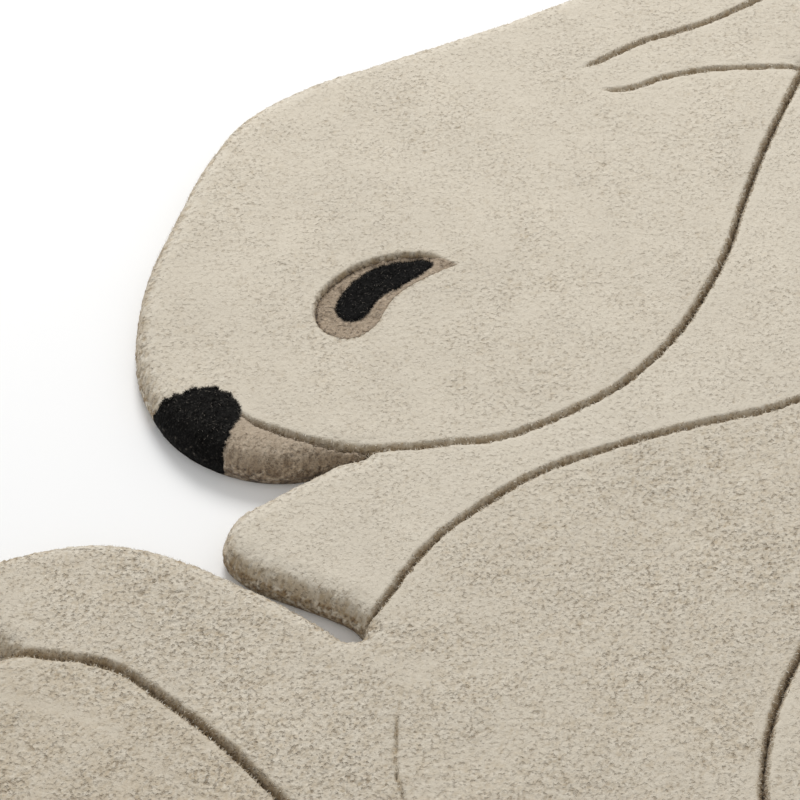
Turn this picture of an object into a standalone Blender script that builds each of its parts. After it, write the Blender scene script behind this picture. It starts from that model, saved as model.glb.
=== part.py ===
"""Rabbit shaped tufted rug, one solid lying flat: cut pile with carved grooves and a sunk eye surround.

Lengths are in millimetres. The tables are in the drawing's frame: zero is in the neck, X is to the
rabbit's back and Y is to its ears. DRAWING_AT moves the drawing so that the box is centred on the origin.
"""

import bpy
import numpy as np
from mathutils import Vector
from mathutils.geometry import delaunay_2d_cdt

DRAWING_AT = (-242.52, -9.14)
THICKNESS = 21.0
RIM_STEPS = ((0.0, 8.0), (2.0, 4.6), (5.0, 2.0), (9.0, 0.6), (14.0, 0.0))
GROOVE_HALF_WIDTH = 3.2
GROOVE_DEPTH = 7.0
RECESS_DEPTH = 3.4
RECESS_WALL = 1.5
RECESS_ACROSS = (-0.68, 0.73)
RECESS_FROM = 58.0
RECESS_TO = 74.0
RECESS_LEAST = 0.2
CURVE_STEP = 1.0
CURVE_WITHIN = 0.12
GROOVE_WITHIN = 0.2
CDT_WITHIN = 0.02

# Outline, clockwise from the notch under the jaw: section, and its points up to the next section's corner
OUTLINE = (
    ("head and far ear", (
        (-20, -39), (-38, -38), (-58, -42), (-78, -41), (-100, -33), (-120, -18), (-135, 5), (-143, 29),
        (-145, 60), (-140, 105), (-127, 149), (-113, 190), (-91, 229), (-58, 256), (-10, 280), (60, 314),
        (110, 342), (160, 371), (230, 410),
        (300, 438), (362, 453), (396, 452), (404, 434), (380, 412), (325, 386),
    )),
    ("near ear", (
        (268, 360), (310, 371), (380, 374), (438, 362), (460, 340), (445, 316), (400, 300), (320, 288),
    )),
    ("back", (
        (240, 271), (300, 262), (375, 252), (455, 225), (530, 175), (590, 90), (630, -20), (652, -120),
    )),
    ("tail", ((662, -208), (696, -212), (724, -244), (728, -292), (706, -332), (666, -350))),
    ("haunch and hind foot", (
        (622, -346), (560, -388), (480, -418), (390, -434), (290, -437), (190, -432), (90, -416),
        (-20, -386), (-120, -341), (-200, -295), (-240, -252), (-243, -212), (-225, -185),
    )),
    ("near foreleg and far paw", (
        (-196, -172), (-218, -158), (-229, -138), (-215, -114), (-185, -102), (-150, -98), (-114, -108),
        (-85, -124), (-53, -143), (-36, -156), (-27, -163), (-20, -162), (-17, -155), (-22, -146),
        (-37, -136), (-54, -128), (-83, -112), (-91, -102), (-90, -88), (-83, -77), (-70, -68),
        (-55, -57), (-40, -47), (-29, -41),
    )),
)

# Eye surround, sheared lower than the head: section, points
EYE_SURROUND = (
    ("surround", (
        (32, 104), (20, 97), (6, 87), (-3, 78), (-9, 66), (-13, 57), (-21, 49), (-31, 46), (-41, 52),
        (-46, 62), (-45, 78), (-37, 91), (-24, 103), (-9, 110), (6, 113), (20, 111),
    )),
)

# Carved grooves: name, size, length of the fade at the start and at the end, points
GROOVES = (
    ("jaw", 1.0, 24, 0, (
        (-88, -7), (-80, -15), (-64, -23), (-48, -29), (-32, -33), (-10, -35), (27, -31), (54, -27),
        (76, -17), (98, -4), (120, 12), (138, 31), (154, 53), (168, 79), (184, 115), (196, 155),
        (213, 205), (240, 271),
    )),
    ("neck", 0.8, 0, 0, ((-25, -40), (-18, -38), (-12, -35))),
    ("body", 1.0, 0, 0, (
        (-23, -158), (-15, -150), (-8, -140), (0, -126), (10, -110), (21, -96), (32, -85), (42, -76),
        (58, -63), (77, -50), (101, -39), (134, -26), (161, -17), (205, -4), (250, 22), (282, 66),
        (296, 124), (286, 190), (262, 240), (240, 271),
    )),
    ("belly", 0.45, 70, 70, ((4, -187), (0, -205), (-2, -230), (-2, -249), (2, -267), (10, -300), (24, -334))),
    ("foot", 1.2, 0, 0, (
        (-201, -172), (-175, -177), (-152, -181), (-139, -187), (-123, -200), (-107, -214),
        (-92, -228), (-77, -244), (-60, -264), (-34, -298), (6, -332), (64, -356), (130, -361),
        (192, -348),
    )),
    ("haunch", 1.0, 0, 0, (
        (266, -440), (225, -398), (192, -348), (178, -290), (184, -225), (212, -160), (262, -104),
        (330, -68), (405, -57), (478, -66), (545, -86), (605, -112), (660, -140),
    )),
    ("near ear, upper", 0.9, 16, 0, ((107, 269), (119, 276), (143, 292), (179, 308), (224, 336), (272, 362))),
    ("near ear, lower", 0.9, 16, 0, ((117, 250), (134, 251), (154, 260), (177, 267), (208, 270), (246, 271))),
    ("tail", 1.0, 0, 0, ((664, -204), (650, -238), (636, -280), (628, -318), (619, -350))),
)


def smooth_run(points):
    """Hermite points every CURVE_STEP through a run of points."""
    points = np.array(points, float)
    ends = np.vstack([2 * points[0] - points[1], points, 2 * points[-1] - points[-2]])
    line = []
    for before, start, end, after in zip(ends, ends[1:], ends[2:], ends[3:]):
        span = np.linalg.norm(end - start)
        leave = slope(before, start, end) * span
        arrive = slope(start, end, after) * span
        t = np.arange(0, 1, CURVE_STEP / span)[:, None]
        line.append(
            (2 * t**3 - 3 * t**2 + 1) * start
            + (t**3 - 2 * t**2 + t) * leave
            + (3 * t**2 - 2 * t**3) * end
            + (t**3 - t**2) * arrive
        )
    return np.vstack(line + [points[-1:]])


def slope(a, b, c):
    """Direction at b of a curve through a, b and c, in which the shorter span weighs more."""
    first = np.linalg.norm(b - a)
    second = np.linalg.norm(c - b)
    return ((b - a) / first * second + (c - b) / second * first) / (first + second)


def closed_curve(sections):
    """A closed line through the sections, smooth except where one ends and the next starts."""
    runs = [points for _, points in sections]
    line = []
    for run, after in zip(runs, runs[1:] + runs[:1]):
        line.append(smooth_run(run + after[:1])[:-1])
    return np.vstack(line)


def thinned(line, within):
    """The fewest of the line's points that stay within a distance of it."""
    keep = np.zeros(len(line), bool)
    keep[[0, -1]] = True
    spans = [(0, len(line) - 1)]
    while spans:
        start, end = spans.pop()
        if end - start < 2:
            continue
        off = distance(line[start + 1:end], line[[start, end]])
        worst = int(off.argmax())
        if off[worst] > within:
            middle = start + 1 + worst
            keep[middle] = True
            spans += [(start, middle), (middle, end)]
    return line[keep]


def thinned_loop(line, within):
    """The same for a closed line, cut at its first point and halfway."""
    half = len(line) // 2
    first = thinned(line[:half + 1], within)
    second = thinned(np.vstack([line[half:], line[:1]]), within)
    return np.vstack([first[:-1], second[:-1]])


def nearest(points, line):
    """Distance from each point to the line, and the length along the line of its nearest place."""
    start = line[:-1]
    run = np.diff(line, axis=0)
    long = np.linalg.norm(run, axis=1)
    along = np.concatenate([[0], np.cumsum(long)[:-1]])
    best = np.full(len(points), np.inf)
    place = np.zeros(len(points))
    for a, d, length, before in zip(start, run, long, along):
        t = np.clip(((points - a) @ d) / length**2, 0, 1)
        off = np.linalg.norm(points - a - t[:, None] * d, axis=1)
        closer = off < best
        best[closer] = off[closer]
        place[closer] = before + t[closer] * length
    return best, place


def distance(points, line):
    return nearest(points, line)[0]


def looped(line):
    return np.vstack([line, line[:1]])


def inside(points, loop):
    """Whether each point lies inside the loop."""
    x, y = points.T
    result = np.zeros(len(points), bool)
    for (ax, ay), (bx, by) in zip(loop, np.roll(loop, -1, axis=0)):
        crosses = (ay > y) != (by > y)
        if ay != by:
            result ^= crosses & (x < (bx - ax) * (y - ay) / (by - ay) + ax)
    return result


def normals(line, closed):
    """Unit normals to the left of the line."""
    if closed:
        run = np.roll(line, -1, axis=0) - np.roll(line, 1, axis=0)
    else:
        run = np.gradient(line, axis=0)
    run /= np.linalg.norm(run, axis=1)[:, None]
    return np.stack([-run[:, 1], run[:, 0]], axis=1)


def taper(place, total, fade_in, fade_out):
    """1 along a groove, falling to 0 over the fades at its ends."""
    size = np.ones(len(place))
    if fade_in:
        size = np.minimum(size, place / fade_in)
    if fade_out:
        size = np.minimum(size, (total - place) / fade_out)
    return np.sin(np.clip(size, 0, 1) * np.pi / 2)


def length_of(line):
    return np.linalg.norm(np.diff(line, axis=0), axis=1).sum()


def groove_drop(points, line, full, fade_in, fade_out):
    """How far a V groove lowers the pile at each point."""
    off, place = nearest(points, line)
    size = full * np.maximum(taper(place, length_of(line), fade_in, fade_out), 0.02)
    return GROOVE_DEPTH * size * np.clip(1 - off / (GROOVE_HALF_WIDTH * size), 0, 1)


def rim_drop(points, outline):
    """How far the rounded rim lowers the pile at each point."""
    off = distance(points, looped(outline))
    return np.interp(off, *zip(*RIM_STEPS))


def recess_drop(points, surround):
    """How far the eye surround is sheared below the head at each point: least along its lower edge."""
    off = distance(points, looped(surround)) * inside(points, surround)
    across = (points - DRAWING_AT) @ RECESS_ACROSS
    share = np.clip((across - RECESS_FROM) / (RECESS_TO - RECESS_FROM), RECESS_LEAST, 1)
    return RECESS_DEPTH * share * np.clip(off / RECESS_WALL, 0, 1)


class Lines:
    """The points and edges that the triangles of the pile must follow."""

    def __init__(self):
        self.points = []
        self.edges = []

    def add(self, line, closed=False, kept=None):
        first = len(self.points)
        self.points += [Vector(p) for p in line]
        if kept is None:
            kept = np.ones(len(line), bool)
        for i in range(len(line) - (not closed)):
            j = (i + 1) % len(line)
            if kept[i] and kept[j]:
                self.edges.append((first + i, first + j))

    def add_offset(self, line, off, limit):
        """A line beside a closed one, without the places that come nearer to it than the offset."""
        beside = line + normals(line, True) * off
        clear = distance(beside, looped(line)) > limit
        beside = beside[clear]
        near = np.linalg.norm(np.roll(beside, -1, axis=0) - beside, axis=1) < 40
        first = len(self.points)
        self.points += [Vector(p) for p in beside]
        for i in np.flatnonzero(near):
            self.edges.append((first + int(i), first + (int(i) + 1) % len(beside)))


def add_grooves(lines, grooves):
    """Each groove's bottom line and its two shoulders."""
    for line, full, fade_in, fade_out in grooves:
        thin = thinned(line, GROOVE_WITHIN)
        place = nearest(thin, line)[1]
        size = full * taper(place, length_of(line), fade_in, fade_out)
        wide = GROOVE_HALF_WIDTH * np.maximum(size, 0.02)[:, None]
        lines.add(thin)
        lines.add(thin + normals(thin, False) * wide)
        lines.add(thin - normals(thin, False) * wide)


def pile_triangles(outline, surround, grooves):
    """Points and triangles of the plan of the rug, inside the outline."""
    lines = Lines()
    lines.add(outline, closed=True)
    for off, _ in RIM_STEPS[1:]:
        lines.add_offset(outline, -off, off - 0.1)
    lines.add(surround, closed=True)
    lines.add_offset(surround, -RECESS_WALL, RECESS_WALL - 0.1)
    add_grooves(lines, grooves)
    points, _, triangles, *_ = delaunay_2d_cdt(lines.points, lines.edges, [], 0, CDT_WITHIN)
    points = np.array([tuple(p) for p in points])
    triangles = np.array(triangles)
    middles = points[triangles].mean(axis=1)
    return points, triangles[inside(middles, outline)]


def facing_up(points, triangles):
    a, b, c = points[triangles].transpose(1, 0, 2)
    turn = (b - a)[:, 0] * (c - a)[:, 1] - (b - a)[:, 1] * (c - a)[:, 0]
    triangles[turn < 0] = triangles[turn < 0][:, ::-1]
    return triangles


def border(triangles):
    """The edges that only one triangle has, each in that triangle's direction."""
    found = {}
    for a, b, c in triangles.tolist():
        for edge in ((a, b), (b, c), (c, a)):
            found[edge] = True
    return [edge for edge in found if edge[::-1] not in found]


def solid_of(points, heights, triangles):
    """Vertices and faces: the pile, a wall down its border, and a flat underside."""
    edges = border(triangles)
    used = sorted({i for edge in edges for i in edge})
    low = {i: len(points) + n for n, i in enumerate(used)}
    vertices = [(x, y, z) for (x, y), z in zip(points, heights)]
    vertices += [(points[i][0], points[i][1], 0.0) for i in used]
    faces = [tuple(t) for t in triangles.tolist()]
    for a, b in edges:
        faces += [(a, low[a], low[b]), (a, low[b], b)]
    loop = [Vector(points[i]) for i in used]
    place = {i: n for n, i in enumerate(used)}
    rim = [(place[a], place[b]) for a, b in edges]
    under_points, _, under, *_ = delaunay_2d_cdt(loop, rim, [], 0, 0.0)
    under = facing_up(np.array([tuple(p) for p in under_points]), np.array(under))
    middles = np.array([tuple(p) for p in under_points])[under].mean(axis=1)
    ring = ordered(edges)
    for a, b, c in under[inside(middles, points[ring])].tolist():
        faces.append((low[used[c]], low[used[b]], low[used[a]]))
    return vertices, faces


def ordered(edges):
    """The border's points in order round the rug."""
    after = dict(edges)
    ring = [edges[0][0]]
    while after[ring[-1]] != ring[0]:
        ring.append(after[ring[-1]])
    return ring


def clear_scene():
    for obj in list(bpy.data.objects):
        bpy.data.objects.remove(obj, do_unlink=True)


def add_rug(vertices, faces):
    mesh = bpy.data.meshes.new("rug")
    mesh.from_pydata([Vector(v) / 1000 for v in vertices], [], faces)
    mesh.validate()
    rug = bpy.data.objects.new("rug", mesh)
    bpy.context.scene.collection.objects.link(rug)
    return rug


def build():
    outline = thinned_loop(closed_curve(OUTLINE) + DRAWING_AT, CURVE_WITHIN)
    surround = thinned_loop(closed_curve(EYE_SURROUND) + DRAWING_AT, CURVE_WITHIN)
    grooves = [
        (smooth_run(points) + DRAWING_AT, full, fade_in, fade_out)
        for _, full, fade_in, fade_out, points in GROOVES
    ]
    points, triangles = pile_triangles(outline, surround, grooves)
    drops = [rim_drop(points, outline), recess_drop(points, surround)]
    drops += [groove_drop(points, *groove) for groove in grooves]
    heights = THICKNESS - np.max(drops, axis=0)
    used = np.unique(triangles)
    place = np.zeros(len(points), int)
    place[used] = np.arange(len(used))
    triangles = facing_up(points[used], place[triangles])
    add_rug(*solid_of(points[used], heights[used], triangles))


clear_scene()
build()
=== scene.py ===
"""Looks of the rabbit shaped tufted rug: cut wool pile in carved sections, over a canvas underside.

Lengths are in millimetres until a mesh is made. The tables are in the drawing's frame, as in the part:
zero is in the neck, X is to the rabbit's back and Y is to its ears.
"""

import math

import bmesh
import bpy
import numpy as np
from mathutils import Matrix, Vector
from mathutils.geometry import delaunay_2d_cdt


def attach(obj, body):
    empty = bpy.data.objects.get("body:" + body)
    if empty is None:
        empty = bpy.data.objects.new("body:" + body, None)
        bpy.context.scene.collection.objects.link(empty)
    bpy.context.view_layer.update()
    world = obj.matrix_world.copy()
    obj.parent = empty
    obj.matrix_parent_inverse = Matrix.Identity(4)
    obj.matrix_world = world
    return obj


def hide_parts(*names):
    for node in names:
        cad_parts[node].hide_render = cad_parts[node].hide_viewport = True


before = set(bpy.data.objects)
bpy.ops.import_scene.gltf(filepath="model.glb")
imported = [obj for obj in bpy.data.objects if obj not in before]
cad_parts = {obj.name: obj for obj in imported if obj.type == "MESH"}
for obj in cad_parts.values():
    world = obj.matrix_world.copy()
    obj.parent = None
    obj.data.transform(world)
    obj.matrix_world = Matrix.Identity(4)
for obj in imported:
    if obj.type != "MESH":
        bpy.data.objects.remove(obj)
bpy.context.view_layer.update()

DRAWING_AT = np.array((-242.52, -9.14))
THICKNESS = 21.0
RIM_REACH = 14.0
RIM_FALL = 9.0
# Painted light and shade down the rounded rim, by how far it has fallen: a little lighter at first, then
# darker
RIM_TONES = ((0.0, 0.0), (1.0, 0.02), (2.6, -0.04), (4.5, -0.11), (9.0, -0.13))
GROOVE_DEPTH = 7.4
SOFT_SIDE = 2.8
CRISP_SIDE = 2.5
BROW_SIDE = 1.5
BROW_SHARE = 0.5
GROOVE_REACH = 9
EYE_REACH = 6
# How much wider than a groove its painted shade reaches
SHADE_REACH = 1.3
RECESS_DEPTH = 3.4
RECESS_WALL = 1.6
RECESS_ACROSS = (-0.68, 0.73)
RECESS_FROM = 58.0
RECESS_TO = 74.0
RECESS_LEAST = 0.2
PUPIL_PROUD = 0.8
EYE_WITHIN = 60
FADED = 0.02
CURVE_STEP = 1.5

GRID = 1.3
SNAP_REACH = 1.05 * GRID
RIM_SEEK = 6
SEAM_SEEK = 3
MERGE_M = 2e-5
ON_FLOOR = 0.01
SEED = 71
TUFT = 2.6
PLAIN_TONE = 0.8
KEEP_RANGE = (0.25, 1.9)
WALL_ROWS = 10
WALL_YARN = 2.4
# The rug's side is painted darker towards the floor: painted shade between the yarns, with some of the
# backing's darker colour near the floor
WALL_TONE = 0.48
WALL_TONES = ((0, 0.75), (0.25, 0.73), (0.7, 0.68), (1, 0.57))
WALL_BOW = 1.1
WALL_ROUGH = 1.7
SEAM_TUCK = 0.4
PUPIL_RAGGED = 0.6
NOSE_RAGGED = 1.6
GRIT = 2.1
GRIT_MM = 1.5
# Painted light on the higher tufts' tips in the grooves and on the rounded rim, with some random tone
GRIT_LIGHT_AND_TONE = 0.34
CUT_SHADE = 0.24
CUT_RELIEF = -0.6
RIM_RELIEF = 2.6
# More cleft depth, and so more painted shade in the clefts, in the grooves and on the rounded rim
CUT_CLEFTS = 1.1
RIM_CLEFTS = 0.9
WALL_GRIT = 0.16
# Tone of the rug's side by tuft: random, partly painted light on lit yarn ends; and painted shade in the gaps
# between tufts
WALL_DYE_AND_LIGHT = 0.5
WALL_GAP = 0.18
SHORN_REACH = 11.0

RIM_FIBRES_PER_MM = 3.5
RIM_FIBRE_MM = 0.13
RIM_FIBRE_LONG = (0.7, 1.6)
# Tone of the loose fibres by their height on the side: the side's painted shade, darker nearer the floor
RIM_FIBRE_TONES = ((3, WALL_TONE), (10, 0.6), (15, 0.84))
PILE_FIBRES = 30000
PILE_FIBRE_MM = 0.12
PILE_FIBRE_LONG = (0.9, 1.7)
GROOVE_FIBRES_PER_MM = 4.8
GROOVE_FIBRE_MM = 0.3
GROOVE_FIBRE_LONG = (0.9, 2.0)
GROOVE_FIBRES_OFF = (0.6, 3.2)
PUPIL_FIBRES = 700
NOSE_FIBRES = 2600
BORDER_FIBRES_PER_MM = 5.0
BORDER_FIBRE_MM = 0.23
BORDER_FIBRE_LONG = (0.9, 2.6)
# The black fibres' tones; the brightest are painted glints at the yarn's lit tips
BORDER_FIBRE_TONES = (0.3, 0.6, 0.85, 1.0)
BORDER_TONE_SHARES = (0.4, 0.25, 0.15, 0.2)
EDGE_CLEAR = 1.5
CANVAS_PITCH = 0.0022
# Painted shade in the clefts between yarn ends: the factor the colour darkens by, and how much of it
CLEFT_SHADE_TINT = (0.66, 0.59, 0.50)
CLEFT_SHARE = 0.58

# Noise in the materials, in bumps per metre, and the wool's finish
FIBRE_NOISE = 900
ENDS_NOISE = 470
LUMP_NOISE = 330
CLOUD_NOISE = 26
SLUB_NOISE = 140
WOOL_BUMP = 0.0011
WOOL_ROUGHNESS = 0.95
WOOL_SPECULAR = 0.15
SHEEN_ROUGHNESS = 0.6
CANVAS_BUMP = 0.0004
CANVAS_ROUGHNESS = 0.9
CANVAS_SHEEN = 0.1
CANVAS_DARK = (0.36, 0.31, 0.24, 1)
CANVAS_LIGHT = (0.56, 0.51, 0.42, 1)
FLOOR_COLOUR = (0.93, 0.93, 0.925, 1)
FLOOR_ROUGHNESS = 0.8

# How each wool takes the light: weight of the sheen, strength of the flecks, glint of the brightest ends
WOOLS = {
    "cream_pile": (0.25, 0.08, (0.0, 0.0, 0.0)),
    "taupe_pile": (0.2, 0.2, (0.0, 0.0, 0.0)),
    "black_pile": (0.0, 0.5, (0.03, 0.028, 0.025)),
}

KEY_WATTS = 64.5
KEY_AT = (-0.5, 2.35, 2.0)
KEY_TOWARDS = (-0.1, 0, 0)
KEY_SIZE = 1.1
SKY = 0.62
FLOOR_REACH = 6.0
FLOOR_LOW = -0.0006
RUNS_AT_ONCE = 12
CAMERA_RISE = math.radians(47)
CAMERA_FAR = 1.9
CAMERA_LENS = 158.2

# Carved grooves: name, size, length of the fade at the start and at the end, points
GROOVES = {
    "jaw": (1.0, 24, 0, (
        (-88, -7), (-80, -15), (-64, -23), (-48, -29), (-32, -33), (-10, -35), (27, -31), (54, -27),
        (76, -17), (98, -4), (120, 12), (138, 31), (154, 53), (168, 79), (184, 115), (196, 155),
        (213, 205), (240, 271),
    )),
    "neck": (0.8, 0, 0, ((-25, -40), (-18, -38), (-12, -35))),
    "body": (1.0, 0, 0, (
        (-23, -158), (-15, -150), (-8, -140), (0, -126), (10, -110), (21, -96), (32, -85), (42, -76),
        (58, -63), (77, -50), (101, -39), (134, -26), (161, -17), (205, -4), (250, 22), (282, 66),
        (296, 124), (286, 190), (262, 240), (240, 271),
    )),
    "belly": (0.45, 70, 70, (
        (4, -187), (0, -205), (-2, -230), (-2, -249), (2, -267), (10, -300), (24, -334),
    )),
    "foot": (1.2, 0, 0, (
        (-201, -172), (-175, -177), (-152, -181), (-139, -187), (-123, -200), (-107, -214),
        (-92, -228), (-77, -244), (-60, -264), (-34, -298), (6, -332), (64, -356), (130, -361),
        (192, -348),
    )),
    "haunch": (1.0, 0, 0, (
        (266, -440), (225, -398), (192, -348), (178, -290), (184, -225), (212, -160), (262, -104),
        (330, -68), (405, -57), (478, -66), (545, -86), (605, -112), (660, -140),
    )),
    "near ear, upper": (0.9, 16, 0, ((107, 269), (119, 276), (143, 292), (179, 308), (224, 336), (272, 362))),
    "near ear, lower": (0.9, 16, 0, ((117, 250), (134, 251), (154, 260), (177, 267), (208, 270), (246, 271))),
    "tail": (1.0, 0, 0, ((664, -204), (650, -238), (636, -280), (628, -318), (619, -350))),
}

# Sheared and coloured areas, each a closed run from its first point
EYE_SURROUND = (
    (32, 104), (20, 97), (6, 87), (-3, 78), (-9, 66), (-13, 57), (-21, 49), (-31, 46), (-41, 52),
    (-46, 62), (-45, 78), (-37, 91), (-24, 103), (-9, 110), (6, 113), (20, 111), (32, 104),
)
PUPIL = (
    (-5, 85), (-11, 80), (-15, 73), (-20, 64), (-26, 60), (-32, 64), (-35, 71), (-34, 78), (-29, 88),
    (-21, 98), (-9, 106), (4, 109), (14, 109), (18, 106), (15, 101), (8, 95), (2, 89), (-5, 85),
)
NOSE = (
    (-140, -3), (-132, -1), (-126, 2), (-116, 5), (-104, 10), (-98, 8), (-92, 3), (-88, -2), (-87, -10),
    (-90, -19), (-92, -26), (-95, -34), (-96, -45), (-96, -60), (-150, -60), (-152, -5), (-140, -3),
)

# A strip sheared closer along the foot, and its half width
SHORN_STRIP = ((-196, -205), (-160, -215), (-130, -236), (-100, -268), (-70, -305), (-40, -340), (0, -370))
SHORN_HALF = 7.0

# Where the pile is coarser than elsewhere: middle, reach, and how much more relief
COARSE = (
    ((-120, -150), 90, 0.35),
    ((-60, -240), 90, 0.4),
    ((150, -150), 120, 0.2),
    ((-110, 60), 60, -0.15),
)

# Where a section's border leaves the grooves
SADDLE = ((250, 22), (256, -40), (262, -104))
BESIDE_EARS = ((240, 271), (300, 275), (400, 277), (560, 290))
UNDER_JAW = ((-18, -38), (-25, -40), (-40, -43), (-60, -52), (-140, -58))
SLIT = ((-23, -158), (-60, -136), (-100, -108), (-600, -88))

# Sections of the pile; a section's number is its place here, from 1
NAMES = ("back", "nose", "tail", "foot", "haunch", "jaw", "head", "neck", "flank", "eye", "pupil")

# How each section is spun and sheared: yarn, tone, and the size of the tufts' relief. The cream sections'
# differences in tone are partly painted light, darker towards the foot
PILE = {
    "back": ("cream_pile", 0.81, 0.9),
    "nose": ("black_pile", 0.80, 1.3),
    "tail": ("cream_pile", 0.81, 0.9),
    "foot": ("cream_pile", 0.77, 1.2),
    "haunch": ("cream_pile", 0.81, 0.9),
    "jaw": ("taupe_pile", 0.85, 1.1),
    "head": ("cream_pile", 0.82, 0.66),
    "neck": ("cream_pile", 0.83, 0.70),
    "flank": ("cream_pile", 0.80, 1.0),
    "eye": ("taupe_pile", 0.77, 1.3),
    "pupil": ("black_pile", 0.50, 1.0),
}

# Yarn colours, 8-bit, from the pile's shade at tone 0 to its lit tips at tone 1: tone, red, green, blue
YARNS = {
    "cream_pile": (
        (0.0, 60, 42, 25), (0.3, 114, 88, 56), (0.55, 164, 143, 111), (0.8, 205, 195, 177),
        (1.0, 228, 221, 206),
    ),
    "taupe_pile": (
        (0.0, 46, 33, 22), (0.3, 86, 68, 50), (0.55, 127, 109, 88), (0.8, 165, 148, 127),
        (1.0, 192, 178, 158),
    ),
    "black_pile": (
        (0.0, 6, 5, 4), (0.55, 10, 9, 8), (0.8, 17, 16, 14), (0.9, 24, 22, 20),
        (1.0, 96, 91, 84),
    ),
}

# Sheets of pile, each with the coloured areas that lie in it
SHEETS = {
    "head": ("nose", "jaw", "eye", "pupil"),
    "neck": (),
    "foot": (),
    "flank": (),
    "back": ("tail",),
    "haunch": (),
}

# The sides of a grid cell: the way to the cell beyond, and the side's first and last corner
CELL_SIDES = (
    ((0, -1), (0, 0), (1, 0)),
    ((1, 0), (1, 0), (1, 1)),
    ((0, 1), (1, 1), (0, 1)),
    ((-1, 0), (0, 1), (0, 0)),
)


def smooth_run(points):
    """Hermite points every CURVE_STEP through a run of points."""
    points = np.array(points, float)
    ends = np.vstack([2 * points[0] - points[1], points, 2 * points[-1] - points[-2]])
    line = []
    for before, start, end, after in zip(ends, ends[1:], ends[2:], ends[3:]):
        span = np.linalg.norm(end - start)
        leave = slope(before, start, end) * span
        arrive = slope(start, end, after) * span
        t = np.arange(0, 1, CURVE_STEP / span)[:, None]
        line.append(
            (2 * t**3 - 3 * t**2 + 1) * start
            + (t**3 - 2 * t**2 + t) * leave
            + (3 * t**2 - 2 * t**3) * end
            + (t**3 - t**2) * arrive
        )
    return np.vstack(line + [points[-1:]])


def slope(a, b, c):
    """Direction at b of a curve through a, b and c, in which the shorter span weighs more."""
    first = np.linalg.norm(b - a)
    second = np.linalg.norm(c - b)
    return ((b - a) / first * second + (c - b) / second * first) / (first + second)


def frame_outline():
    """The rug's edge on the floor, anticlockwise, from the CAD solid's underside."""
    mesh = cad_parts["rug"].data
    corners = np.array([v.co for v in mesh.vertices]) * 1000
    mesh.calc_loop_triangles()
    triangles = np.array([t.vertices[:] for t in mesh.loop_triangles])
    spots, place = np.unique(np.round(corners, 3), axis=0, return_inverse=True)
    triangles = place.reshape(-1)[triangles]
    low = triangles[(spots[triangles][:, :, 2] < ON_FLOOR).all(axis=1)]
    after = {}
    for a, b in directed_border(low):
        after[a] = b
    ring = [next(iter(after))]
    while after[ring[-1]] != ring[0]:
        ring.append(after[ring[-1]])
    ring = spots[ring][:, :2]
    x, y = ring.T
    turn = (x * np.roll(y, -1) - y * np.roll(x, -1)).sum()
    return ring if turn > 0 else ring[::-1]


def directed_border(faces):
    """The edges that only one face has, each in that face's direction."""
    faces = np.asarray(faces)
    edges = np.concatenate([faces[:, [i, (i + 1) % faces.shape[1]]] for i in range(faces.shape[1])])
    key = edges[:, 0].astype(np.int64) << 32 | edges[:, 1]
    back = edges[:, 1].astype(np.int64) << 32 | edges[:, 0]
    return edges[~np.isin(key, back)]


def nearest(points, line, reach=None):
    """For each point: distance to the line, length along it, signed side (left is positive), and the place.

    With a reach, points further than that from the line's box are given the reach itself."""
    off = np.full(len(points), np.inf if reach is None else float(reach))
    along = np.zeros(len(points))
    side = np.ones(len(points))
    spot = points.copy()
    run = np.diff(line, axis=0)
    long = np.linalg.norm(run, axis=1)
    before = np.concatenate([[0], np.cumsum(long)[:-1]])
    for first in range(0, len(run), RUNS_AT_ONCE):
        some = slice(first, first + RUNS_AT_ONCE)
        near = np.arange(len(points))
        if reach is not None:
            bent = line[first:first + RUNS_AT_ONCE + 1]
            low = bent.min(axis=0) - reach
            high = bent.max(axis=0) + reach
            near = np.flatnonzero(((points > low) & (points < high)).all(axis=1))
        here = points[near]
        for a, d, length, start in zip(line[some], run[some], long[some], before[some]):
            t = np.clip(((here - a) @ d) / length**2, 0, 1)
            foot = a + t[:, None] * d
            gap = here - foot
            dist = np.hypot(gap[:, 0], gap[:, 1])
            better = dist < off[near]
            to = near[better]
            off[to] = dist[better]
            along[to] = start + t[better] * length
            side[to] = np.sign(d[0] * gap[better, 1] - d[1] * gap[better, 0])
            spot[to] = foot[better]
    return off, along, side, spot


def inside(points, loop):
    """Whether each point lies inside the loop."""
    x, y = points.T
    result = np.zeros(len(points), bool)
    for (ax, ay), (bx, by) in zip(loop, np.roll(loop, -1, axis=0)):
        if ay != by:
            crosses = (ay > y) != (by > y)
            result ^= crosses & (x < (bx - ax) * (y - ay) / (by - ay) + ax)
    return result


def lengths(line):
    """The length along a line at each of its points."""
    return np.concatenate([[0], np.cumsum(np.linalg.norm(np.diff(line, axis=0), axis=1))])


def along_line(line, long, at):
    """The places on a line at some lengths along it."""
    return np.stack([np.interp(at, long, line[:, i]) for i in (0, 1)], axis=1)


def unit(ways):
    """The ways, each made one long."""
    return ways / np.linalg.norm(ways, axis=1)[:, None]


def hashed(ix, iy, salt):
    """An even random number from 0 to 1 for each whole-number pair."""
    h = (ix.astype(np.int64) * 374761393 + iy.astype(np.int64) * 668265263 + salt * 2246822519) & 0xFFFFFFFF
    h = ((h ^ (h >> 13)) * 1274126177) & 0xFFFFFFFF
    h = ((h ^ (h >> 15)) * 2246822519) & 0xFFFFFFFF
    return ((h ^ (h >> 16)) & 0xFFFFFF) / float(0x1000000)


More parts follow.
